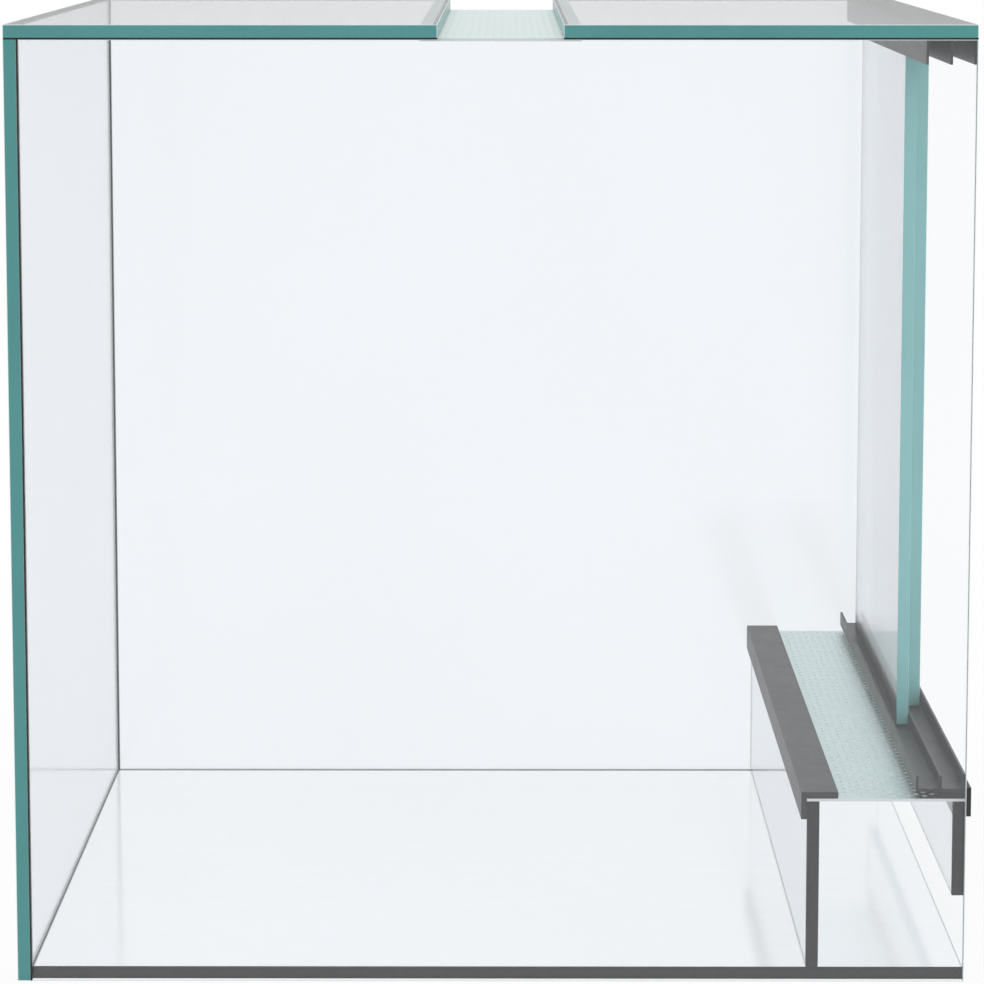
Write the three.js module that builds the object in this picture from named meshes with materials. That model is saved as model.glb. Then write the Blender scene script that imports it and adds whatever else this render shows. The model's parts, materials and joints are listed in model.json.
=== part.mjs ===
// A clear glass terrarium cabinet: panes bonded edge to edge with black silicone, two sliding glass
// doors in plastic rails at the front, an air intake below them and a perforated air outlet in the top.
//
// Millimetres, +Z up. The origin is the middle of the cabinet on the plane it stands on. X runs along
// the doors' travel, and -Y is the front, where the doors are.

import * as THREE from 'three';

// ---- Driving dimensions ----------------------------------------------------------------------

const length = 300; // over both side panes, along X
const depth = 300; // from the back pane's outer face to the side panes' front edges, along Y
const height = 302; // from the base's underside to the top panes' upper faces
const pane = 4; // every fixed pane's thickness
const doorPane = 4; // a sliding door's thickness
const joint = 0.6; // silicone between two panes
const bond = 0.3; // thin silicone under a strip, a rail or the cap
const endGap = 0.3; // what slides or is laid in stops this far short of a side pane

const rearTopDepth = 133.7; // the rear top pane, front to back
const ventSheetDepth = 50; // both perforated sheets, front to back
const ventSheetThickness = 0.9;
const outletLap = 5.55; // how far each top pane laps over the perforated sheet below it
const outletBead = 1.6; // width of the silicone that holds the sheet, along each top pane's edge

const ventDeckLevel = 57.7; // underside of the front perforated sheet
const frontStripHeight = 30; // the pane that hangs below the door rail, over the air intake

const capThickness = 1.8; // angle profile over the vent wall's upper edge
const capFlange = 11.7;
const capLeg = 8.8; // from the flange's top to the leg's lower edge

const finThickness = 0.8; // upright fins of both door rails
const doorPlay = 2.65; // a rail channel's width over the door in it
const bottomRailBed = 2.4; // silicone bed between the perforated sheet and the bottom rail
const bottomRailBedDepth = 9.5;
const bottomRailFloor = 0.8;
const bottomFinHeight = 4.2; // above the channel's floor
const frontFinHeight = 4.7; // the front one stands a little higher
const skirtThickness = 2; // the bottom rail's lip over the front strip's face
const skirtHeight = 9.3;

const topRailWeb = 1;
const topFinHeight = 7.1;

const doorOverlap = 34.6; // how far the two doors lap over each other when both are shut
const doorEngagement = 2.1; // how far a door reaches up between the top rail's fins
const doorLift = 0.4; // a door's clearance over the channel's floor
const innerDoorFinGap = 0.35; // between the inner door and the middle fin
const outerDoorFinGap = 0.7; // between the outer door and the front fin
const innerDoorOpening = 97; // from the left side pane to the inner door, as it stands

const holeAcross = 1.8; // one perforation, corner to corner
const holeRowPitch = 5; // between staggered rows, front to back
const holePitch = 10.4; // along a row: the model carries every second hole of every second row
const holeEdge = 1.2; // least metal left between a hole and what covers the sheet

// ---- Places worked out from them ---------------------------------------------------------------

const left = -length / 2;
const right = length / 2;
const front = -depth / 2;
const back = depth / 2;

const innerLeft = left + pane; // the side panes' inner faces
const innerRight = right - pane;
const innerBack = back - pane; // the back pane's inner face
const topUnderside = height - pane;
const sidePaneTop = topUnderside - joint;

const ventWallRear = front + ventSheetDepth;
const ventWallFront = ventWallRear - pane;
const ventWallTop = ventDeckLevel - bond;
const ventSheetTop = ventDeckLevel + ventSheetThickness;
const capTop = ventSheetTop + bond + capThickness;
const capRear = ventWallRear + capThickness;

const rearTopFront = back - rearTopDepth;
const outletWidth = ventSheetDepth - 2 * outletLap; // the gap between the two top panes
const frontTopRear = rearTopFront - outletWidth;
const outletSheetRear = rearTopFront + outletLap;
const outletSheetFront = frontTopRear - outletLap;
const outletSheetTop = topUnderside - bond;

const channel = doorPane + doorPlay;
const railDepth = 3 * finThickness + 2 * channel;
const railRear = front + railDepth;
const bottomRailUnderside = ventSheetTop + bottomRailBed;
const channelFloor = bottomRailUnderside + bottomRailFloor;
const topRailTop = topUnderside - bond;
const topRailCeiling = topRailTop - topRailWeb;

const railLeft = innerLeft + endGap;
const railRight = innerRight - endGap;

const topFinBottom = topRailCeiling - topFinHeight;
const doorLength = (railRight - railLeft + doorOverlap) / 2;
const doorBottom = channelFloor + doorLift;
const doorTop = topFinBottom + doorEngagement;
const innerDoorLeft = innerLeft + innerDoorOpening;
const outerDoorLeft = railRight - doorLength;

// ---- Materials -----------------------------------------------------------------------------------

const glass = (name) => new THREE.MeshStandardMaterial({
  name, color: 0xdfeceb, roughness: 0.05, metalness: 0, transparent: true, opacity: 0.35,
});
const fixedGlass = glass('float glass, fixed panes');
const doorGlass = glass('float glass, sliding doors');
const silicone = new THREE.MeshStandardMaterial({
  name: 'black silicone', color: 0x1f2224, roughness: 0.45, metalness: 0,
});
const railPlastic = new THREE.MeshStandardMaterial({
  name: 'extruded dark grey plastic', color: 0x303132, roughness: 0.4, metalness: 0,
});
const perforatedMetal = new THREE.MeshStandardMaterial({
  name: 'perforated aluminium', color: 0xc3d2d0, roughness: 0.3, metalness: 0.9,
});

// ---- Makers ----------------------------------------------------------------------------------------

const cabinet = new THREE.Group();

// A box between two corners given as [X, Y, Z] ranges.
function block(name, [x0, x1], [y0, y1], [z0, z1], material) {
  const mesh = new THREE.Mesh(new THREE.BoxGeometry(x1 - x0, y1 - y0, z1 - z0), material);
  mesh.name = name;
  mesh.position.set((x0 + x1) / 2, (y0 + y1) / 2, (z0 + z1) / 2);
  cabinet.add(mesh);
  return mesh;
}

// A profile drawn as [Y, Z] points and drawn out along X from x0 to x1.
function extrusion(name, points, [x0, x1], material) {
  const outline = new THREE.Shape(points.map(([y, z]) => new THREE.Vector2(y, z)));
  const geometry = new THREE.ExtrudeGeometry(outline, { depth: x1 - x0, bevelEnabled: false });
  const yzAlongX = new THREE.Matrix4().makeBasis(
    new THREE.Vector3(0, 1, 0), new THREE.Vector3(0, 0, 1), new THREE.Vector3(1, 0, 0));
  geometry.applyMatrix4(yzAlongX);
  const mesh = new THREE.Mesh(geometry, material);
  mesh.name = name;
  mesh.position.x = x0;
  cabinet.add(mesh);
  return mesh;
}

// A flat sheet with staggered rows of small four-sided holes in its open part, between y ranges openY.
function perforatedSheet(name, [x0, x1], [y0, y1], z0, openY) {
  const sheet = new THREE.Shape([
    new THREE.Vector2(x0, y0), new THREE.Vector2(x1, y0),
    new THREE.Vector2(x1, y1), new THREE.Vector2(x0, y1),
  ]);
  const reach = holeAcross / 2;
  const rowSpan = openY[1] - openY[0] - 2 * (holeEdge + reach);
  const rows = Math.floor(rowSpan / holeRowPitch) + 1;
  const rowSpare = rowSpan - (rows - 1) * holeRowPitch;
  const holes = Math.floor((x1 - x0 - 2 * (holeEdge + reach)) / holePitch);
  const firstHole = (x0 + x1) / 2 - (holes - 0.5) * holePitch / 2;
  for (let row = 0; row < rows; row++) {
    const y = openY[0] + holeEdge + reach + rowSpare / 2 + row * holeRowPitch;
    const stagger = row % 2 === 0 ? 0 : holePitch / 2;
    for (let i = 0; i < holes; i++) {
      const x = firstHole + stagger + i * holePitch;
      sheet.holes.push(new THREE.Path([
        new THREE.Vector2(x - reach, y), new THREE.Vector2(x, y - reach),
        new THREE.Vector2(x + reach, y), new THREE.Vector2(x, y + reach),
      ]));
    }
  }
  const geometry = new THREE.ExtrudeGeometry(sheet, { depth: ventSheetThickness, bevelEnabled: false });
  const mesh = new THREE.Mesh(geometry, perforatedMetal);
  mesh.name = name;
  mesh.position.z = z0;
  cabinet.add(mesh);
  return mesh;
}

// ---- Fixed panes -----------------------------------------------------------------------------------

function fixedPanes() {
  const betweenSides = [innerLeft + joint, innerRight - joint];
  const sideY = [front, innerBack - joint];
  block('base_pane', betweenSides, sideY, [0, pane], fixedGlass);
  block('back_pane', [left, right], [innerBack, back], [0, sidePaneTop], fixedGlass);
  block('side_pane_left', [left, innerLeft], sideY, [0, sidePaneTop], fixedGlass);
  block('side_pane_right', [innerRight, right], sideY, [0, sidePaneTop], fixedGlass);
  block('top_pane_rear', [left, right], [rearTopFront, back], [topUnderside, height], fixedGlass);
  block('top_pane_front', [left, right], [front, frontTopRear], [topUnderside, height], fixedGlass);
  block('vent_wall_pane', betweenSides, [ventWallFront, ventWallRear],
    [pane + joint, ventWallTop], fixedGlass);
  block('front_strip_pane', betweenSides, [front, front + pane],
    [ventWallTop - frontStripHeight, ventWallTop], fixedGlass);
}

// ---- Silicone joints between panes -------------------------------------------------------------------

function siliconeJoints() {
  const sides = [
    { side: 'left', wall: [left, innerLeft], face: [innerLeft, innerLeft + joint] },
    { side: 'right', wall: [innerRight, right], face: [innerRight - joint, innerRight] },
  ];
  const backJoint = [innerBack - joint, innerBack];
  const topJoint = [sidePaneTop, topUnderside];
  for (const { side, wall, face } of sides) {
    block(`joint_back_${side}`, wall, backJoint, [0, sidePaneTop], silicone);
    block(`joint_base_${side}`, face, [front, innerBack - joint], [0, pane], silicone);
    block(`joint_top_rear_${side}`, wall, [rearTopFront, innerBack], topJoint, silicone);
    block(`joint_top_front_${side}`, wall, [front, frontTopRear], topJoint, silicone);
    block(`joint_vent_wall_${side}`, face, [ventWallFront, ventWallRear],
      [pane, ventWallTop], silicone);
    block(`joint_front_strip_${side}`, face, [front, front + pane],
      [ventWallTop - frontStripHeight, ventWallTop], silicone);
  }
  block('joint_base_back', [innerLeft, innerRight], backJoint, [0, pane], silicone);
  block('joint_top_back', [left, right], [innerBack, back], topJoint, silicone);
  block('joint_vent_wall_base', [innerLeft + joint, innerRight - joint],
    [ventWallFront, ventWallRear], [pane, pane + joint], silicone);
}

// ---- Perforated air outlet in the top -----------------------------------------------------------------

function airOutlet() {
  const span = [railLeft, railRight];
  perforatedSheet('outlet_sheet', span, [outletSheetFront, outletSheetRear],
    outletSheetTop - ventSheetThickness, [frontTopRear, rearTopFront]);
  block('bond_outlet_rear', span, [rearTopFront, rearTopFront + outletBead],
    [outletSheetTop, topUnderside], silicone);
  block('bond_outlet_front', span, [frontTopRear - outletBead, frontTopRear],
    [outletSheetTop, topUnderside], silicone);
}

// ---- Perforated deck over the air intake, with its cap ---------------------------------------------

function intakeDeck() {
  const span = [railLeft, railRight];
  const bondZ = [ventWallTop, ventDeckLevel];
  const capFront = capRear - capFlange;
  perforatedSheet('intake_sheet', span, [front, ventWallRear], ventDeckLevel, [railRear, capFront]);
  block('bond_vent_wall', span, [ventWallFront, ventWallRear], bondZ, silicone);
  block('bond_front_strip', span, [front, front + pane], bondZ, silicone);
  block('bond_cap', span, [capFront, ventWallRear], [ventSheetTop, ventSheetTop + bond], silicone);
  extrusion('vent_wall_cap', [
    [capFront, capTop - capThickness],
    [ventWallRear, capTop - capThickness],
    [ventWallRear, capTop - capLeg],
    [capRear, capTop - capLeg],
    [capRear, capTop],
    [capFront, capTop],
  ], span, railPlastic);
}

// ---- Door rails ----------------------------------------------------------------------------------

// Both rails carry three fins, at the same places: each door runs between two of them.
const finAt = (place) => {
  const rear = front + place * (finThickness + channel) + finThickness;
  return { front: rear - finThickness, rear };
};
const frontFin = finAt(0);
const middleFin = finAt(1);
const rearFin = finAt(2);

function bottomDoorRail() {
  const finTop = channelFloor + bottomFinHeight;
  const frontFinTop = channelFloor + frontFinHeight;
  const skirtFace = front - skirtThickness;
  const skirtBottom = channelFloor - skirtHeight;
  extrusion('bottom_door_rail', [
    [skirtFace, skirtBottom], [front, skirtBottom],
    [front, bottomRailUnderside], [rearFin.rear, bottomRailUnderside],
    [rearFin.rear, finTop], [rearFin.front, finTop], [rearFin.front, channelFloor],
    [middleFin.rear, channelFloor], [middleFin.rear, finTop],
    [middleFin.front, finTop], [middleFin.front, channelFloor],
    [frontFin.rear, channelFloor], [frontFin.rear, frontFinTop],
    [frontFin.front, frontFinTop], [frontFin.front, channelFloor],
    [skirtFace, channelFloor],
  ], [railLeft, railRight], railPlastic);
  block('bed_bottom_rail', [railLeft, railRight], [front, front + bottomRailBedDepth],
    [ventSheetTop, bottomRailUnderside], silicone);
}

function topDoorRail() {
  extrusion('top_door_rail', [
    [rearFin.rear, topRailTop], [frontFin.front, topRailTop],
    [frontFin.front, topFinBottom], [frontFin.rear, topFinBottom], [frontFin.rear, topRailCeiling],
    [middleFin.front, topRailCeiling], [middleFin.front, topFinBottom],
    [middleFin.rear, topFinBottom], [middleFin.rear, topRailCeiling],
    [rearFin.front, topRailCeiling], [rearFin.front, topFinBottom], [rearFin.rear, topFinBottom],
  ], [railLeft, railRight], railPlastic);
  block('bond_top_rail', [railLeft, railRight], [front, railRear], [topRailTop, topUnderside], silicone);
}

// ---- Sliding doors -------------------------------------------------------------------------------

function slidingDoors() {
  const doorZ = [doorBottom, doorTop];
  const innerDoorFront = middleFin.rear + innerDoorFinGap;
  const outerDoorFront = frontFin.rear + outerDoorFinGap;
  block('door_pane_inner', [innerDoorLeft, innerDoorLeft + doorLength],
    [innerDoorFront, innerDoorFront + doorPane], doorZ, doorGlass);
  block('door_pane_outer', [outerDoorLeft, outerDoorLeft + doorLength],
    [outerDoorFront, outerDoorFront + doorPane], doorZ, doorGlass);
}

fixedPanes();
siliconeJoints();
airOutlet();
intakeDeck();
bottomDoorRail();
topDoorRail();
slidingDoors();

export default cabinet;
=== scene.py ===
"""Dresses a packed terrarium cabinet: glass panes with ground arrises, black silicone, extruded door
rails, perforated vent sheets, a white studio stage and the camera.

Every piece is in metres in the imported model's frame. X runs along the doors' travel, -Y is the front
and +Z is up.
"""

import json
import math

import bmesh
import bpy
from mathutils import Matrix, Vector

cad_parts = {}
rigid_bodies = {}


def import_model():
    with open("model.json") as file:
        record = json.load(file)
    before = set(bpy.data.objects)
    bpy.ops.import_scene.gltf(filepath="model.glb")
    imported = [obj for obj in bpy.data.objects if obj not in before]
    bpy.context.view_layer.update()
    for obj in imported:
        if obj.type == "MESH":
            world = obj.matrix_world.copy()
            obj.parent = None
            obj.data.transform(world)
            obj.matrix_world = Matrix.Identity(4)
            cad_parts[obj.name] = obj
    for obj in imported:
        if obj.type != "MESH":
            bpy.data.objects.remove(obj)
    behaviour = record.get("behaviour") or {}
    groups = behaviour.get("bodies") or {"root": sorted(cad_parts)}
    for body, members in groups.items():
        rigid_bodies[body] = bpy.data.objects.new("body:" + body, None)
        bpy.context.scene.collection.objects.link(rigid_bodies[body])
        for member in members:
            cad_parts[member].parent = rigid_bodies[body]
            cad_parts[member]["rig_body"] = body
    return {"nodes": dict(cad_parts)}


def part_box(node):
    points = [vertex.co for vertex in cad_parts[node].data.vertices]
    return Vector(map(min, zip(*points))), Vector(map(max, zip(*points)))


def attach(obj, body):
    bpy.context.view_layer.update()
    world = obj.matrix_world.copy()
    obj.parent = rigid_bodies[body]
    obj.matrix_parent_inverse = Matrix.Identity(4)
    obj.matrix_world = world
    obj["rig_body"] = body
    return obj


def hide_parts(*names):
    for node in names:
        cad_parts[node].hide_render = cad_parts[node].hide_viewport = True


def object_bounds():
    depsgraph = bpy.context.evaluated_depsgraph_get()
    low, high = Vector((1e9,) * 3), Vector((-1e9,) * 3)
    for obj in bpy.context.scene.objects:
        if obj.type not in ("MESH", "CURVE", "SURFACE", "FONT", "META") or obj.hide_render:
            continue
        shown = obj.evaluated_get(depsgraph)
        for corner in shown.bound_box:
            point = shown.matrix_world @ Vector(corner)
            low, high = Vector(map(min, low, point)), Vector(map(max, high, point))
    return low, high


bl_info = {
    "name": "Terrarium cabinet",
    "version": (1, 0, 0),
    "blender": (4, 5, 0),
    "location": "3D View > Sidebar > Terrarium",
    "description": "Glass, silicone, rails and vent sheets for a terrarium cabinet with sliding doors",
    "category": "Object",
}

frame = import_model()
CAD_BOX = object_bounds()
MM = 0.001
SILICONE = ("joint_", "bond_", "bed_")  # how the names of the silicone runs start
WHITE = (1.0, 1.0, 1.0, 1.0)
CLEAR, EDGE, ARRIS, BONDED = range(4)  # a pane's faces, by the order of its materials
SQUARE = 0.999  # a face is square to an axis if its normal has more than this along it

GLASS_IOR = 1.55
SILICONE_IOR = 1.41
PLASTIC_IOR = 1.46
NEAR_SILICONE = 0.2 * MM  # a pane's edge or narrow face this near to silicone counts as covered by it
BEAD_CORNER = 0.35  # radius of a bead's corners, as a share of its thickness
MOST_REFLECTED = 0.42  # the share of the light that a pane reflects, at most, short of total reflection
TOTAL = 0.999  # a Fresnel share over this is total reflection
NOISE_LOW, NOISE_HIGH = 0.3, 0.7  # a noise texture's values lie between these, all but a few

FLOOR_RADIUS = 12.0
SHADOWS_TO = 0.35  # as far from the cabinet's middle as the floor takes its full shadow
SHADOWS_END = 0.9  # as far out as it takes any
FULL_WHITE_UP = 0.5  # sine of the height above the horizon where the surround is at its whitest


# ---- Helpers -----------------------------------------------------------------------------------


def linear(hex_colour):
    """A colour written as sRGB hex, as the linear red, green, blue and alpha that Blender takes."""
    values = [int(hex_colour[at : at + 2], 16) / 255 for at in (1, 3, 5)]
    return tuple(v / 12.92 if v <= 0.04045 else ((v + 0.055) / 1.055) ** 2.4 for v in values) + (1.0,)


def add_node(tree, kind, sockets=None, **settings):
    """Adds a node. Sockets maps an input's name or number to a value or to the output that feeds it."""
    made = tree.nodes.new(kind)
    for name, value in settings.items():
        setattr(made, name, value)
    for key, value in (sockets or {}).items():
        if isinstance(value, bpy.types.NodeSocket):
            tree.links.new(value, made.inputs[key])
        else:
            made.inputs[key].default_value = value
    return made


def new_material(name):
    """A node material with nothing in it yet, its tree, and the object's coordinates for its textures."""
    material = bpy.data.materials.new(name)
    material.use_nodes = True
    tree = material.node_tree
    tree.nodes.clear()
    place = add_node(tree, "ShaderNodeTexCoord").outputs["Object"]
    return material, tree, place


def mottled(tree, colour, texture, low, high):
    """The colour, made darker and lighter in places by a texture: low to high times as bright."""
    shade = add_node(
        tree,
        "ShaderNodeMapRange",
        {
            "Value": texture,
            "From Min": NOISE_LOW,
            "From Max": NOISE_HIGH,
            "To Min": low,
            "To Max": high,
        },
    )
    tone = add_node(
        tree,
        "ShaderNodeMix",
        {0: 1.0, 6: colour, 7: shade.outputs[0]},
        data_type="RGBA",
        blend_type="MULTIPLY",
    )
    return tone.outputs[2]


def settings():
    """The cabinet's sizes and colours, as the scene holds them."""
    return bpy.context.scene.terrarium


def finish_piece(piece, node):
    """Stands the piece in for its CAD node, on that node's body."""
    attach(piece, frame["nodes"][node]["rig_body"])
    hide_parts(node)


def object_from(mesh_builder, name, materials):
    """A new object at the origin from a bmesh, with its materials in order."""
    mesh = bpy.data.meshes.new(name)
    mesh_builder.to_mesh(mesh)
    mesh_builder.free()
    for material in materials:
        mesh.materials.append(material)
    piece = bpy.data.objects.new(name, mesh)
    bpy.context.scene.collection.objects.link(piece)
    return piece


def merged_copy(node):
    """The CAD node's mesh with its loose triangles joined into whole flat faces."""
    shape = bmesh.new()
    shape.from_mesh(frame["nodes"][node].data)
    bmesh.ops.remove_doubles(shape, verts=shape.verts, dist=0.001 * MM)
    bmesh.ops.dissolve_limit(shape, angle_limit=math.radians(1), verts=shape.verts, edges=shape.edges)
    return shape


def break_edges(shape, edges, width, segments):
    """Takes these sharp edges off, as a chamfer for one segment or a small round for more."""
    bmesh.ops.bevel(
        shape,
        geom=edges,
        offset=width,
        offset_type="OFFSET",
        segments=segments,
        profile=0.5,
        affect="EDGES",
    )


def from_tree(name, tree, inputs):
    """Runs a Geometry Nodes tree on an empty mesh and keeps the result as a plain mesh object."""
    holder = bpy.data.objects.new(name, bpy.data.meshes.new(name))
    bpy.context.scene.collection.objects.link(holder)
    modifier = holder.modifiers.new("shape", "NODES")
    modifier.node_group = tree
    for socket in tree.interface.items_tree:
        if socket.name in inputs:
            modifier[socket.identifier] = inputs[socket.name]
    evaluated = holder.evaluated_get(bpy.context.evaluated_depsgraph_get())
    mesh = bpy.data.meshes.new_from_object(evaluated)
    mesh.name = name
    holder.modifiers.remove(modifier)
    holder.data = mesh
    return holder


def new_tree(name, inputs):
    """A Geometry Nodes tree with the named inputs, given as name: socket type."""
    tree = bpy.data.node_groups.new(name, "GeometryNodeTree")
    for label, kind in inputs.items():
        tree.interface.new_socket(label, in_out="INPUT", socket_type=kind)
    tree.interface.new_socket("Geometry", in_out="OUTPUT", socket_type="NodeSocketGeometry")
    return tree, add_node(tree, "NodeGroupInput").outputs


# ---- Sizes and colours -------------------------------------------------------------------------


def colour_setting(name, description, hex_colour):
    """A colour that the user can change."""
    return bpy.props.FloatVectorProperty(
        name=name,
        description=description,
        subtype="COLOR",
        size=4,
        default=linear(hex_colour),
    )


def length_setting(name, description, metres):
    """A length that the user can change."""
    return bpy.props.FloatProperty(
        name=name,
        description=description,
        default=metres,
        unit="LENGTH",
        precision=5,
    )


def place_setting(name, description, point):
    """A point in space that the user can change."""
    return bpy.props.FloatVectorProperty(
        name=name,
        description=description,
        subtype="TRANSLATION",
        unit="LENGTH",
        default=point,
    )


def angle_setting(name, description, degrees):
    """An angle that the user can change."""
    return bpy.props.FloatProperty(
        name=name,
        description=description,
        subtype="ANGLE",
        default=math.radians(degrees),
    )


def number_setting(name, description, value, unit="NONE"):
    """A number from zero up that the user can change."""
    return bpy.props.FloatProperty(name=name, description=description, default=value, min=0, unit=unit)


def count_setting(name, description, value, least=1):
    """A whole number that the user can change."""
    return bpy.props.IntProperty(name=name, description=description, default=value, min=least)


class GlassSettings(bpy.types.PropertyGroup):
    """The panes and the two sliding doors."""

    arris: length_setting(
        "Arris", "Width of the ground chamfer along every glass edge that no silicone covers", 0.2 * MM
    )
    clear: colour_setting(
        "Clear face", "Tint of light that has gone through one face of a pane", "#fcfdfe"
    )
    edge: colour_setting("Pane edge", "Colour of the fixed panes' polished edges", "#499391")
    # The doors' edge colour is the teal of a polished glass edge with a painted reflection in it: the
    # white veil that the glass in front of the doors' ends reflects. This makes it lighter than the
    # panes' edge colour.
    door_edge_with_painted_veil: colour_setting("Door edge", "Colour of the sliding doors' polished edges", "#88c7c6")
    ground: colour_setting("Arris face", "Colour of the ground chamfers", "#e4f2f0")
    mirrored: colour_setting(
        "Edge from inside",
        "Colour of what a polished edge reflects when it is seen from inside the glass",
        "#dfe8e7",
    )


class SiliconeSettings(bpy.types.PropertyGroup):
    """The silicone that holds the glass, rails and sheets together."""

    clearance: length_setting(
        "Clearance",
        "Gap between the drawn bead and what it holds, so that no two faces coincide",
        0.01 * MM,
    )
    recess: length_setting("Recess", "How far the trimmed bead stops short of the glass edge", 0.06 * MM)
    waviness: length_setting("Waviness", "How far the trimmed side of a bead wanders", 0.08 * MM)
    step: length_setting("Step", "Distance between two rings of points along a bead", 3 * MM)
    colour: colour_setting("Silicone", "Colour of the cured silicone", "#212323")


class PlasticSettings(bpy.types.PropertyGroup):
    """The two door rails and the cap on the vent wall."""

    edge_round: length_setting(
        "Edge round", "Radius that the extrusion die leaves on a profile's edges", 0.12 * MM
    )
    colour: colour_setting("Profile", "Colour of the extruded plastic", "#343536")


class VentSettings(bpy.types.PropertyGroup):
    """The two perforated sheets."""

    hole: length_setting("Hole", "Diameter of one perforation", 1.7 * MM)
    pitch: length_setting("Pitch", "Distance between two holes in a row", 5.2 * MM)
    row_spacing: length_setting(
        "Row spacing", "Distance between two rows, each shifted half a pitch from the last", 2.5 * MM
    )
    rows: count_setting("Rows", "Rows of holes from the front edge to the rear one", 19)
    per_row: count_setting("Holes per row", "Holes from one end of the sheet to the other", 55)
    sides: count_setting("Hole sides", "Flat faces round one hole", 14, least=6)
    colour: colour_setting("Sheet metal", "Colour that the metal reflects", "#dbebe8")
    wall_colour: colour_setting("Hole walls", "Colour of the matt walls in the holes", "#fafdfd")


class StageSettings(bpy.types.PropertyGroup):
    """The floor, the light and the camera."""

    camera_place: place_setting("Camera place", "Where the camera stands", (-1.3989, -0.0046, 0.3438))
    camera_down: angle_setting("Camera down", "How far the camera looks below the horizon", 7.815)
    camera_turn: angle_setting("Camera turn", "How far the camera is turned from +X towards +Y", 0.188)
    lens: number_setting("Lens", "Focal length for a 36 mm wide picture", 148.1, unit="CAMERA")
    shift: bpy.props.FloatProperty(
        name="Shift",
        description="Vertical lens shift, as a share of the picture's width",
        default=-0.05,
    )
    surround: number_setting(
        "Surround", "Brightness of the white surround, as far as it lights matt surfaces", 0.78
    )
    walls: number_setting(
        "Walls", "Brightness of the surround at the horizon, where something polished reflects it", 0.73
    )
    key_place: place_setting(
        "Key lamp place", "Where the lamp above the cabinet's front stands", (-0.9, -1.2, 1.7)
    )
    key_size: length_setting("Key lamp size", "Width of the soft lamp above the cabinet's front", 1.4)
    key_power: number_setting(
        "Key lamp power", "Power of the soft lamp above the cabinet's front", 7.0, unit="POWER"
    )
    fill_place: place_setting(
        "Fill lamp place", "Where the lamp behind the cabinet stands", (0.9, 1.2, 1.5)
    )
    fill_size: length_setting("Fill lamp size", "Width of the soft lamp behind the cabinet", 1.2)
    fill_power: number_setting(
        "Fill lamp power", "Power of the soft lamp behind the cabinet", 4.0, unit="POWER"
    )
    floor_glow: bpy.props.FloatProperty(
        name="Floor glow",
        description="Share of the floor's white that no shadow takes away",
        default=0.9,
        min=0,
        max=1,
    )


class TerrariumSettings(bpy.types.PropertyGroup):
    """Everything that a user would change."""

    glass: bpy.props.PointerProperty(type=GlassSettings)
    silicone: bpy.props.PointerProperty(type=SiliconeSettings)
    plastic: bpy.props.PointerProperty(type=PlasticSettings)
    vents: bpy.props.PointerProperty(type=VentSettings)
    stage: bpy.props.PointerProperty(type=StageSettings)


# ---- Materials ---------------------------------------------------------------------------------


def clear_float_glass(tint):
    """Soda-lime float glass. Its broad faces are fire polished, so they are clear, with a faint cool
    tint that wanders a little. What they reflect is softened by the film that handling leaves."""
    material, tree, place = new_material("clear_float_glass")
    clouds = add_node(tree, "ShaderNodeTexNoise", {"Vector": place, "Scale": 9.0, "Detail": 1.0})
    tone = mottled(tree, tint, clouds.outputs["Fac"], 0.994, 1.0)
    through = add_node(
        tree, "ShaderNodeBsdfRefraction", {"Color": tone, "Roughness": 0.0, "IOR": GLASS_IOR}
    )
    mirrored = add_node(tree, "ShaderNodeBsdfGlossy", {"Color": WHITE, "Roughness": 0.1})
    # A pane seen almost edge on still lets more than half of the light through. Only where glass reflects
    # all of the light, from its inside, does nothing come through.
    fresnel = add_node(tree, "ShaderNodeFresnel", {"IOR": GLASS_IOR}).outputs[0]
    limited = add_node(tree, "ShaderNodeMath", {0: fresnel, 1: MOST_REFLECTED}, operation="MINIMUM")
    total = add_node(tree, "ShaderNodeMath", {0: fresnel, 1: TOTAL}, operation="GREATER_THAN")
    share = add_node(
        tree, "ShaderNodeMath", {0: limited.outputs[0], 1: total.outputs[0]}, operation="MAXIMUM"
    )
    glass = add_node(
        tree,
        "ShaderNodeMixShader",
        {0: share.outputs[0], 1: through.outputs[0], 2: mirrored.outputs[0]},
    )
    # Lamps shine through: without this a pane would cast the shadow of a solid block.
    clear = add_node(tree, "ShaderNodeBsdfTransparent", {"Color": tint})
    rays = add_node(tree, "ShaderNodeLightPath").outputs
    mixed = add_node(
        tree,
        "ShaderNodeMixShader",
        {0: rays["Is Shadow Ray"], 1: glass.outputs[0], 2: clear.outputs[0]},
    )
    add_node(tree, "ShaderNodeOutputMaterial", {"Surface": mixed.outputs[0]})
    return material


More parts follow.
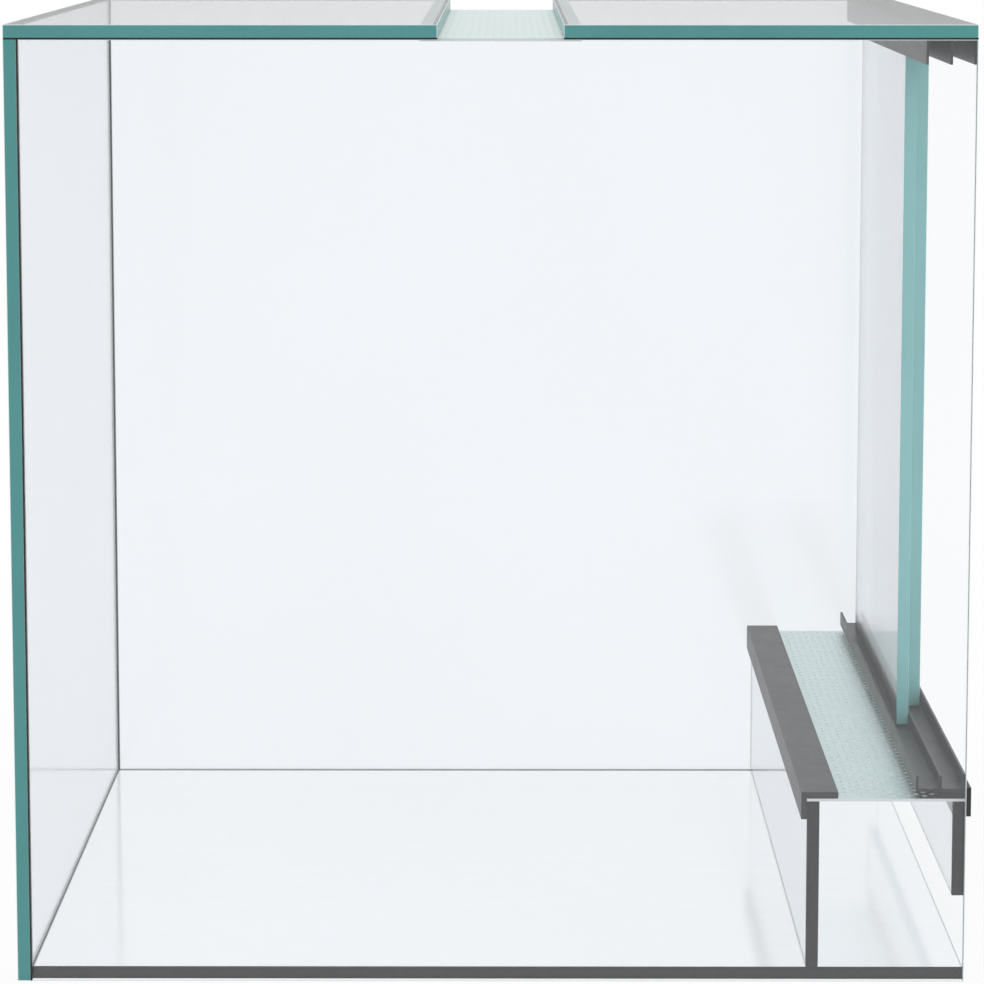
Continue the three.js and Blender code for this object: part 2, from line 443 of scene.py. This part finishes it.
def polished_glass_edge(name, colour, mirrored):
    """The cut and polished edge of float glass, where the light has come the long way through the
    pane: deep blue-green, glossy, with faint lines from the polishing wheel."""
    material, tree, place = new_material(name)
    # Wheel lines are some 0.05 mm apart on the real edge and drawn at about 0.6 mm, so that they show.
    lines = add_node(tree, "ShaderNodeTexNoise", {"Vector": place, "Scale": 1600.0, "Detail": 2.0})
    depth = add_node(tree, "ShaderNodeTexNoise", {"Vector": place, "Scale": 30.0, "Detail": 2.0})
    both = add_node(
        tree,
        "ShaderNodeMix",
        {0: 0.35, 2: depth.outputs["Fac"], 3: lines.outputs["Fac"]},
        data_type="FLOAT",
    )
    tone = mottled(tree, colour, both.outputs[0], 0.93, 1.07)
    bump = add_node(
        tree, "ShaderNodeBump", {"Height": lines.outputs["Fac"], "Strength": 0.2, "Distance": 0.01 * MM}
    )
    edge = add_node(
        tree,
        "ShaderNodeBsdfPrincipled",
        {
            "Base Color": tone,
            "Roughness": 0.25,
            "IOR": GLASS_IOR,
            "Normal": bump.outputs["Normal"],
        },
    )
    # Seen from inside the glass, a polished edge reflects like a mirror.
    mirror = add_node(tree, "ShaderNodeBsdfGlossy", {"Color": mirrored, "Roughness": 0.05})
    inside = add_node(tree, "ShaderNodeNewGeometry").outputs["Backfacing"]
    mixed = add_node(tree, "ShaderNodeMixShader", {0: inside, 1: edge.outputs[0], 2: mirror.outputs[0]})
    add_node(tree, "ShaderNodeOutputMaterial", {"Surface": mixed.outputs[0]})
    return material


def ground_arris(colour):
    """The narrow chamfer along a glass edge, ground with a diamond wheel and left matt, so it
    scatters light and shows as a pale line."""
    material, tree, place = new_material("ground_glass_arris")
    # Grinding grit of some 0.1 mm, drawn at about 0.3 mm, so that it shows.
    grit = add_node(tree, "ShaderNodeTexNoise", {"Vector": place, "Scale": 3000.0, "Detail": 3.0})
    tone = mottled(tree, colour, grit.outputs["Fac"], 0.88, 1.05)
    chamfer = add_node(
        tree, "ShaderNodeBsdfPrincipled", {"Base Color": tone, "Roughness": 0.45, "IOR": GLASS_IOR}
    )
    add_node(tree, "ShaderNodeOutputMaterial", {"Surface": chamfer.outputs[0]})
    return material


def cured_silicone(name, colour):
    """Acetoxy silicone, gunned in and trimmed: black, rubbery, with a soft sheen and small lumps
    where the blade dragged."""
    material, tree, place = new_material(name)
    lumps = add_node(tree, "ShaderNodeTexNoise", {"Vector": place, "Scale": 600.0, "Detail": 3.0})
    tone = mottled(tree, colour, lumps.outputs["Fac"], 0.8, 1.2)
    bump = add_node(
        tree, "ShaderNodeBump", {"Height": lumps.outputs["Fac"], "Strength": 0.15, "Distance": 0.05 * MM}
    )
    sheen = add_node(
        tree,
        "ShaderNodeMapRange",
        {
            "Value": lumps.outputs["Fac"],
            "From Min": NOISE_LOW,
            "From Max": NOISE_HIGH,
            "To Min": 0.3,
            "To Max": 0.45,
        },
    )
    rubber = add_node(
        tree,
        "ShaderNodeBsdfPrincipled",
        {
            "Base Color": tone,
            "Roughness": sheen.outputs[0],
            "IOR": SILICONE_IOR,
            "Normal": bump.outputs["Normal"],
        },
    )
    add_node(tree, "ShaderNodeOutputMaterial", {"Surface": rubber.outputs[0]})
    return material


def extruded_plastic(colour):
    """Rigid PVC, extruded: dark grey and satin, with faint lines that the die draws along its length."""
    material, tree, place = new_material("extruded_dark_pvc")
    # Die lines of some 0.1 mm, drawn at about 0.3 mm, so that they show. They run along X.
    stretched = add_node(tree, "ShaderNodeMapping", {"Vector": place, "Scale": (8.0, 3000.0, 3000.0)})
    lines = add_node(
        tree, "ShaderNodeTexNoise", {"Vector": stretched.outputs[0], "Scale": 1.0, "Detail": 2.0}
    )
    cloud = add_node(tree, "ShaderNodeTexNoise", {"Vector": place, "Scale": 120.0, "Detail": 3.0})
    tone = mottled(tree, colour, lines.outputs["Fac"], 0.95, 1.05)
    bump = add_node(
        tree, "ShaderNodeBump", {"Height": lines.outputs["Fac"], "Strength": 0.12, "Distance": 0.02 * MM}
    )
    gloss = add_node(
        tree,
        "ShaderNodeMapRange",
        {
            "Value": cloud.outputs["Fac"],
            "From Min": NOISE_LOW,
            "From Max": NOISE_HIGH,
            "To Min": 0.42,
            "To Max": 0.48,
        },
    )
    plastic = add_node(
        tree,
        "ShaderNodeBsdfPrincipled",
        {
            "Base Color": tone,
            "Roughness": gloss.outputs[0],
            "IOR": PLASTIC_IOR,
            "Normal": bump.outputs["Normal"],
        },
    )
    add_node(tree, "ShaderNodeOutputMaterial", {"Surface": plastic.outputs[0]})
    return material


def satin_aluminium(colour):
    """Thin aluminium sheet, perforated and then anodised: satin, pale and cool, with a fine even
    grain."""
    material, tree, place = new_material("satin_aluminium_sheet")
    # The mill grain is some 0.05 mm wide and drawn at about 0.3 mm, so that it shows. It runs along X.
    stretched = add_node(tree, "ShaderNodeMapping", {"Vector": place, "Scale": (150.0, 3000.0, 3000.0)})
    grain = add_node(
        tree, "ShaderNodeTexNoise", {"Vector": stretched.outputs[0], "Scale": 1.0, "Detail": 2.0}
    )
    satin = add_node(
        tree,
        "ShaderNodeMapRange",
        {
            "Value": grain.outputs["Fac"],
            "From Min": NOISE_LOW,
            "From Max": NOISE_HIGH,
            "To Min": 0.36,
            "To Max": 0.44,
        },
    )
    tone = mottled(tree, colour, grain.outputs["Fac"], 0.97, 1.02)
    metal = add_node(
        tree,
        "ShaderNodeBsdfPrincipled",
        {"Base Color": tone, "Metallic": 1.0, "Roughness": satin.outputs[0]},
    )
    add_node(tree, "ShaderNodeOutputMaterial", {"Surface": metal.outputs[0]})
    return material


def matt_hole_wall(colour):
    """The walls in the holes and round the sheet, which the grain doesn't reach: rough and anodised, so
    they scatter light and look whiter than the sheet's faces."""
    material, tree, place = new_material("matt_anodised_wall")
    # Pits of some 0.01 mm, drawn at about 0.3 mm, so that they show.
    pits = add_node(tree, "ShaderNodeTexNoise", {"Vector": place, "Scale": 3000.0, "Detail": 2.0})
    tone = mottled(tree, colour, pits.outputs["Fac"], 0.97, 1.02)
    wall = add_node(tree, "ShaderNodeBsdfPrincipled", {"Base Color": tone, "Roughness": 0.6})
    add_node(tree, "ShaderNodeOutputMaterial", {"Surface": wall.outputs[0]})
    return material


# ---- Glass -------------------------------------------------------------------------------------


def silicone_boxes():
    """The space that each run of silicone fills, a little enlarged."""
    reach = Vector((NEAR_SILICONE,) * 3)
    boxes = [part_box(node) for node in frame["nodes"] if node.startswith(SILICONE)]
    return [(low - reach, high + reach) for low, high in boxes]


def bonded(point, boxes):
    """Whether the point lies in silicone."""
    return any(all(low[a] <= point[a] <= high[a] for a in range(3)) for low, high in boxes)


def pane_piece(node, materials, boxes):
    """A pane, clear on its two broad faces and polished on its narrow ones. The edges that no silicone
    covers are taken off, as ground arrises."""
    low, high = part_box(node)
    size = high - low
    thin_axis = min(range(3), key=lambda axis: size[axis])
    shape = merged_copy(node)
    free = [e for e in shape.edges if not bonded((e.verts[0].co + e.verts[1].co) / 2, boxes)]
    break_edges(shape, free, settings().glass.arris, 1)
    for face in shape.faces:
        axis = max(range(3), key=lambda a: abs(face.normal[a]))
        square = abs(face.normal[axis]) > SQUARE
        if square and axis == thin_axis:
            face.material_index = CLEAR
        elif bonded(face.calc_center_median(), boxes):
            face.material_index = BONDED
        else:
            face.material_index = EDGE if square else ARRIS
    piece = object_from(shape, node + "_glass", materials)
    finish_piece(piece, node)


class TERRARIUM_OT_panes(bpy.types.Operator):
    """Make the ten glass panes, the two sliding doors among them"""

    bl_idname = "terrarium.panes"
    bl_label = "Glass panes and doors"

    def execute(self, context):
        glass = settings().glass
        clear = clear_float_glass(glass.clear)
        arris = ground_arris(glass.ground)
        bonded_edge = cured_silicone("silicone_behind_glass", settings().silicone.colour)
        pane_edge = polished_glass_edge("polished_pane_edge", glass.edge, glass.mirrored)
        # The doors' edges and arrises take the lighter colour, which holds the painted reflection of a
        # white veil over the teal.
        door_edge_with_painted_veil = polished_glass_edge("polished_door_edge_painted_veil", glass.door_edge_with_painted_veil, glass.mirrored)
        boxes = silicone_boxes()
        for node in sorted(frame["nodes"]):
            if node.startswith("door_pane"):
                pane_piece(node, (clear, door_edge_with_painted_veil, door_edge_with_painted_veil, bonded_edge), boxes)
            elif "_pane" in node:
                pane_piece(node, (clear, pane_edge, arris, bonded_edge), boxes)
        return {"FINISHED"}


# ---- Silicone ----------------------------------------------------------------------------------


def bead_tree(material):
    """A Geometry Nodes tree for one bead: a rounded strip along X, trimmed a little unevenly on its
    two exposed sides, then turned and put in its place."""
    tree, given = new_tree(
        "silicone_bead",
        {
            "Run": "NodeSocketFloat",
            "Width": "NodeSocketFloat",
            "Thickness": "NodeSocketFloat",
            "Step": "NodeSocketFloat",
            "Waviness": "NodeSocketFloat",
            "Seed": "NodeSocketFloat",
            "Turn": "NodeSocketVector",
            "Place": "NodeSocketVector",
        },
    )
    half_run = add_node(tree, "ShaderNodeMath", {0: given["Run"], 1: 0.5}, operation="MULTIPLY")
    end = add_node(tree, "ShaderNodeCombineXYZ", {"X": half_run.outputs[0]})
    start = add_node(tree, "ShaderNodeVectorMath", {0: end.outputs[0], "Scale": -1.0}, operation="SCALE")
    run = add_node(
        tree, "GeometryNodeCurvePrimitiveLine", {"Start": start.outputs[0], "End": end.outputs[0]}
    )
    rings = add_node(
        tree,
        "GeometryNodeResampleCurve",
        {"Curve": run.outputs[0], "Length": given["Step"]},
        mode="LENGTH",
    )
    outline = add_node(
        tree,
        "GeometryNodeCurvePrimitiveQuadrilateral",
        {"Width": given["Width"], "Height": given["Thickness"]},
    )
    corner = add_node(
        tree, "ShaderNodeMath", {0: given["Thickness"], 1: BEAD_CORNER}, operation="MULTIPLY"
    )
    section = add_node(
        tree,
        "GeometryNodeFilletCurve",
        {"Curve": outline.outputs[0], "Count": 3, "Radius": corner.outputs[0]},
        mode="POLY",
    )
    strip = add_node(
        tree,
        "GeometryNodeCurveToMesh",
        {"Curve": rings.outputs[0], "Profile Curve": section.outputs[0], "Fill Caps": True},
    )
    # Both exposed sides move inwards by a noise, which the seed makes different for each bead.
    place = add_node(tree, "GeometryNodeInputPosition").outputs[0]
    wander = add_node(
        tree,
        "ShaderNodeTexNoise",
        {"Vector": place, "W": given["Seed"], "Scale": 90.0, "Detail": 2.0},
        noise_dimensions="4D",
    )
    across = add_node(tree, "ShaderNodeSeparateXYZ", {0: place})
    side = add_node(tree, "ShaderNodeMath", {0: across.outputs["Y"]}, operation="SIGN")
    inward = add_node(
        tree, "ShaderNodeMath", {0: given["Waviness"], 1: wander.outputs["Fac"]}, operation="MULTIPLY"
    )
    move = add_node(
        tree, "ShaderNodeMath", {0: side.outputs[0], 1: inward.outputs[0]}, operation="MULTIPLY"
    )
    back = add_node(tree, "ShaderNodeMath", {0: move.outputs[0], 1: -1.0}, operation="MULTIPLY")
    offset = add_node(tree, "ShaderNodeCombineXYZ", {"Y": back.outputs[0]})
    trimmed = add_node(
        tree, "GeometryNodeSetPosition", {"Geometry": strip.outputs[0], "Offset": offset.outputs[0]}
    )
    placed = add_node(
        tree,
        "GeometryNodeTransform",
        {"Geometry": trimmed.outputs[0], "Translation": given["Place"], "Rotation": given["Turn"]},
    )
    real = add_node(tree, "GeometryNodeRealizeInstances", {0: placed.outputs[0]})
    done = add_node(
        tree, "GeometryNodeSetMaterial", {"Geometry": real.outputs[0], "Material": material}
    )
    add_node(tree, "NodeGroupOutput", {0: done.outputs[0]})
    return tree


def bead_turn(run_axis, thin_axis):
    """The Euler turn that takes the bead's X to its run and its Z to the axis that it is thin along."""
    run, thin = Vector((0, 0, 0)), Vector((0, 0, 0))
    run[run_axis] = 1
    thin[thin_axis] = 1
    rows = (run, thin.cross(run), thin)
    return Matrix(rows).transposed().to_euler()


class TERRARIUM_OT_silicone(bpy.types.Operator):
    """Make every run of silicone"""

    bl_idname = "terrarium.silicone"
    bl_label = "Silicone beads"

    def execute(self, context):
        wanted = settings().silicone
        material = cured_silicone("cured_black_silicone", wanted.colour)
        tree = bead_tree(material)
        beads = [node for node in sorted(frame["nodes"]) if node.startswith(SILICONE)]
        for seed, node in enumerate(beads):
            low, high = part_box(node)
            size = high - low
            thin_axis, width_axis, run_axis = sorted(range(3), key=lambda axis: size[axis])
            piece = from_tree(
                node + "_bead",
                tree,
                {
                    "Run": size[run_axis] - 2 * wanted.clearance,
                    "Width": size[width_axis] - 2 * wanted.recess,
                    "Thickness": size[thin_axis] - 2 * wanted.clearance,
                    "Step": wanted.step,
                    "Waviness": wanted.waviness,
                    "Seed": float(seed),
                    "Turn": bead_turn(run_axis, thin_axis),
                    "Place": (low + high) / 2,
                },
            )
            finish_piece(piece, node)
        return {"FINISHED"}


# ---- Plastic profiles --------------------------------------------------------------------------


class TERRARIUM_OT_profiles(bpy.types.Operator):
    """Make the two door rails and the cap on the vent wall"""

    bl_idname = "terrarium.profiles"
    bl_label = "Rails and cap"

    def execute(self, context):
        plastic = settings().plastic
        material = extruded_plastic(plastic.colour)
        for node in ("top_door_rail", "bottom_door_rail", "vent_wall_cap"):
            shape = merged_copy(node)
            break_edges(shape, list(shape.edges), plastic.edge_round, 2)
            piece = object_from(shape, node + "_profile", (material,))
            finish_piece(piece, node)
        return {"FINISHED"}


# ---- Perforated sheets -------------------------------------------------------------------------


def vent_tree(face_material, wall_material):
    """A Geometry Nodes tree for one perforated sheet: staggered rows of holes cut through a plate."""
    tree, given = new_tree(
        "perforated_sheet",
        {
            "Size": "NodeSocketVector",
            "Place": "NodeSocketVector",
            "Hole": "NodeSocketFloat",
            "Pitch": "NodeSocketFloat",
            "Row spacing": "NodeSocketFloat",
            "Rows": "NodeSocketInt",
            "Holes per row": "NodeSocketInt",
            "Hole sides": "NodeSocketInt",
        },
    )
    plate = add_node(tree, "GeometryNodeMeshCube", {"Size": given["Size"]})
    gaps_along = add_node(
        tree, "ShaderNodeMath", {0: given["Holes per row"], 1: 1.0}, operation="SUBTRACT"
    )
    along = add_node(
        tree, "ShaderNodeMath", {0: gaps_along.outputs[0], 1: given["Pitch"]}, operation="MULTIPLY"
    )
    gaps_across = add_node(tree, "ShaderNodeMath", {0: given["Rows"], 1: 1.0}, operation="SUBTRACT")
    across = add_node(
        tree, "ShaderNodeMath", {0: gaps_across.outputs[0], 1: given["Row spacing"]}, operation="MULTIPLY"
    )
    grid = add_node(
        tree,
        "GeometryNodeMeshGrid",
        {
            "Size X": along.outputs[0],
            "Size Y": across.outputs[0],
            "Vertices X": given["Holes per row"],
            "Vertices Y": given["Rows"],
        },
    )
    # A grid's points are numbered along Y first, so the row is the remainder of the number. Odd rows
    # move a quarter of a pitch one way and even rows a quarter the other way.
    number = add_node(tree, "GeometryNodeInputIndex").outputs[0]
    row = add_node(tree, "ShaderNodeMath", {0: number, 1: given["Rows"]}, operation="MODULO")
    odd_row = add_node(tree, "ShaderNodeMath", {0: row.outputs[0], 1: 2.0}, operation="MODULO")
    way = add_node(
        tree, "ShaderNodeMapRange", {"Value": odd_row.outputs[0], "To Min": -0.25, "To Max": 0.25}
    )
    stagger = add_node(
        tree, "ShaderNodeMath", {0: way.outputs[0], 1: given["Pitch"]}, operation="MULTIPLY"
    )
    offset = add_node(tree, "ShaderNodeCombineXYZ", {"X": stagger.outputs[0]})
    centres = add_node(
        tree, "GeometryNodeSetPosition", {"Geometry": grid.outputs[0], "Offset": offset.outputs[0]}
    )
    thickness = add_node(tree, "ShaderNodeSeparateXYZ", {0: given["Size"]}).outputs["Z"]
    radius = add_node(tree, "ShaderNodeMath", {0: given["Hole"], 1: 0.5}, operation="MULTIPLY")
    # A punch twice as long as the sheet is thick goes right through it.
    length = add_node(tree, "ShaderNodeMath", {0: thickness, 1: 2.0}, operation="MULTIPLY")
    punch = add_node(
        tree,
        "GeometryNodeMeshCylinder",
        {"Vertices": given["Hole sides"], "Radius": radius.outputs[0], "Depth": length.outputs[0]},
        fill_type="NGON",
    )
    punches = add_node(
        tree, "GeometryNodeInstanceOnPoints", {"Points": centres.outputs[0], "Instance": punch.outputs[0]}
    )
    tool = add_node(tree, "GeometryNodeRealizeInstances", {0: punches.outputs[0]})
    cut = add_node(
        tree,
        "GeometryNodeMeshBoolean",
        {"Mesh 1": plate.outputs[0], "Mesh 2": tool.outputs[0]},
        operation="DIFFERENCE",
        solver="MANIFOLD",
    )
    placed = add_node(
        tree, "GeometryNodeTransform", {"Geometry": cut.outputs[0], "Translation": given["Place"]}
    )
    real = add_node(tree, "GeometryNodeRealizeInstances", {0: placed.outputs[0]})
    faces = add_node(
        tree, "GeometryNodeSetMaterial", {"Geometry": real.outputs[0], "Material": face_material}
    )
    # The upright faces are the holes' walls and the sheet's rim.
    normal = add_node(tree, "GeometryNodeInputNormal").outputs[0]
    upward = add_node(tree, "ShaderNodeSeparateXYZ", {0: normal}).outputs["Z"]
    upright = add_node(tree, "ShaderNodeMath", {0: upward, 1: 0.0, 2: 0.5}, operation="COMPARE")
    done = add_node(
        tree,
        "GeometryNodeSetMaterial",
        {"Geometry": faces.outputs[0], "Selection": upright.outputs[0], "Material": wall_material},
    )
    add_node(tree, "NodeGroupOutput", {0: done.outputs[0]})
    return tree


class TERRARIUM_OT_vents(bpy.types.Operator):
    """Make the two perforated sheets"""

    bl_idname = "terrarium.vents"
    bl_label = "Perforated sheets"

    def execute(self, context):
        vents = settings().vents
        tree = vent_tree(satin_aluminium(vents.colour), matt_hole_wall(vents.wall_colour))
        for node in ("intake_sheet", "outlet_sheet"):
            low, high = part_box(node)
            piece = from_tree(
                node + "_perforated",
                tree,
                {
                    "Size": high - low,
                    "Place": (low + high) / 2,
                    "Hole": vents.hole,
                    "Pitch": vents.pitch,
                    "Row spacing": vents.row_spacing,
                    "Rows": vents.rows,
                    "Holes per row": vents.per_row,
                    "Hole sides": vents.sides,
                },
            )
            finish_piece(piece, node)
        return {"FINISHED"}


# ---- Stage -------------------------------------------------------------------------------------


def sees_background(tree):
    """1 for the rays that should find a white background: the camera's, reflected and refracted ones."""
    rays = add_node(tree, "ShaderNodeLightPath").outputs
    first = add_node(
        tree, "ShaderNodeMath", {0: rays["Is Camera Ray"], 1: rays["Is Glossy Ray"]}, operation="MAXIMUM"
    )
    both = add_node(
        tree, "ShaderNodeMath", {0: first.outputs[0], 1: rays["Is Transmission Ray"]}, operation="MAXIMUM"
    )
    return both.outputs[0]


def studio_floor(glow):
    """A white sweep. Near the cabinet part of its white is lit, and so takes the cabinet's shadow."""
    material, tree, place = new_material("white_studio_floor")
    reach = add_node(tree, "ShaderNodeVectorMath", {0: place}, operation="LENGTH")
    fade = add_node(
        tree,
        "ShaderNodeMapRange",
        {
            "Value": reach.outputs["Value"],
            "From Min": SHADOWS_TO,
            "From Max": SHADOWS_END,
            "To Min": glow,
        },
        interpolation_type="SMOOTHSTEP",
    )
    share = add_node(
        tree, "ShaderNodeMath", {0: fade.outputs[0], 1: sees_background(tree)}, operation="MULTIPLY"
    )
    lit = add_node(tree, "ShaderNodeBsdfDiffuse", {"Color": WHITE})
    white = add_node(tree, "ShaderNodeEmission", {"Strength": 1.0})
    mixed = add_node(
        tree, "ShaderNodeMixShader", {0: share.outputs[0], 1: lit.outputs[0], 2: white.outputs[0]}
    )
    add_node(tree, "ShaderNodeOutputMaterial", {"Surface": mixed.outputs[0]})
    return material


def soft_lamp(name, place, size, power):
    """A square soft box that looks at the cabinet's middle."""
    low, high = CAD_BOX
    data = bpy.data.lights.new(name, "AREA")
    data.size = size
    data.energy = power
    lamp = bpy.data.objects.new(name, data)
    lamp.location = place
    towards = (low + high) / 2 - lamp.location
    lamp.rotation_euler = towards.to_track_quat("-Z", "Y").to_euler()
    bpy.context.scene.collection.objects.link(lamp)


def white_surround(surround, horizon):
    """A white studio around the cabinet. Its walls are a little greyer than its ceiling, which shows in
    what is polished."""
    world = bpy.data.worlds.new("white_surround")
    world.use_nodes = True
    tree = world.node_tree
    tree.nodes.clear()
    towards = add_node(tree, "ShaderNodeTexCoord").outputs["Generated"]
    height = add_node(tree, "ShaderNodeSeparateXYZ", {0: towards}).outputs["Z"]
    walls = add_node(
        tree, "ShaderNodeMapRange", {"Value": height, "From Max": FULL_WHITE_UP, "To Min": horizon}
    )
    bounces = add_node(tree, "ShaderNodeLightPath").outputs["Glossy Depth"]
    reflected = add_node(tree, "ShaderNodeMath", {0: bounces, 1: 0.5}, operation="GREATER_THAN")
    shown = add_node(tree, "ShaderNodeMix", {0: reflected.outputs[0], 2: 1.0, 3: walls.outputs[0]})
    level = add_node(
        tree, "ShaderNodeMix", {0: sees_background(tree), 2: surround, 3: shown.outputs[0]}
    )
    background = add_node(
        tree, "ShaderNodeBackground", {"Color": WHITE, "Strength": level.outputs[0]}
    )
    add_node(tree, "ShaderNodeOutputWorld", {"Surface": background.outputs[0]})
    return world


def photo_camera(stage):
    """A camera where the photo was taken from, looking along +X and a little down."""
    data = bpy.data.cameras.new("camera")
    data.sensor_width = 36.0
    data.lens = stage.lens
    data.shift_y = stage.shift
    camera = bpy.data.objects.new("camera", data)
    camera.location = stage.camera_place
    quarter = math.radians(90)
    camera.rotation_euler = (quarter - stage.camera_down, 0, stage.camera_turn - quarter)
    bpy.context.scene.collection.objects.link(camera)
    return camera


class TERRARIUM_OT_stage(bpy.types.Operator):
    """Make the floor, the surround, the lamps and the camera"""

    bl_idname = "terrarium.stage"
    bl_label = "Stage and camera"

    def execute(self, context):
        stage = settings().stage
        context.scene.view_settings.view_transform = "Standard"
        shape = bmesh.new()
        bmesh.ops.create_circle(shape, cap_ends=True, segments=96, radius=FLOOR_RADIUS)
        object_from(shape, "studio_floor", (studio_floor(stage.floor_glow),))
        context.scene.world = white_surround(stage.surround, stage.walls)
        soft_lamp("key_soft_box", stage.key_place, stage.key_size, stage.key_power)
        soft_lamp("fill_soft_box", stage.fill_place, stage.fill_size, stage.fill_power)
        context.scene.camera = photo_camera(stage)
        return {"FINISHED"}


# ---- Panel and registration --------------------------------------------------------------------


class TERRARIUM_PT_pieces(bpy.types.Panel):
    """Lists what makes up the cabinet"""

    bl_idname = "TERRARIUM_PT_pieces"
    bl_label = "Terrarium cabinet"
    bl_space_type = "VIEW_3D"
    bl_region_type = "UI"
    bl_category = "Terrarium"

    def draw(self, context):
        for operator in OPERATORS:
            self.layout.operator(operator.bl_idname)


OPERATORS = (
    TERRARIUM_OT_stage,
    TERRARIUM_OT_panes,
    TERRARIUM_OT_silicone,
    TERRARIUM_OT_profiles,
    TERRARIUM_OT_vents,
)
GROUPS = (
    GlassSettings,
    SiliconeSettings,
    PlasticSettings,
    VentSettings,
    StageSettings,
    TerrariumSettings,
)


def register():
    for made in (*GROUPS, *OPERATORS, TERRARIUM_PT_pieces):
        bpy.utils.register_class(made)
    bpy.types.Scene.terrarium = bpy.props.PointerProperty(type=TerrariumSettings)


def unregister():
    del bpy.types.Scene.terrarium
    for made in (TERRARIUM_PT_pieces, *reversed(OPERATORS), *reversed(GROUPS)):
        bpy.utils.unregister_class(made)


def main():
    register()
    for operator in OPERATORS:
        group, name = operator.bl_idname.split(".")
        getattr(getattr(bpy.ops, group), name)()


if __name__ == "__main__":
    main()
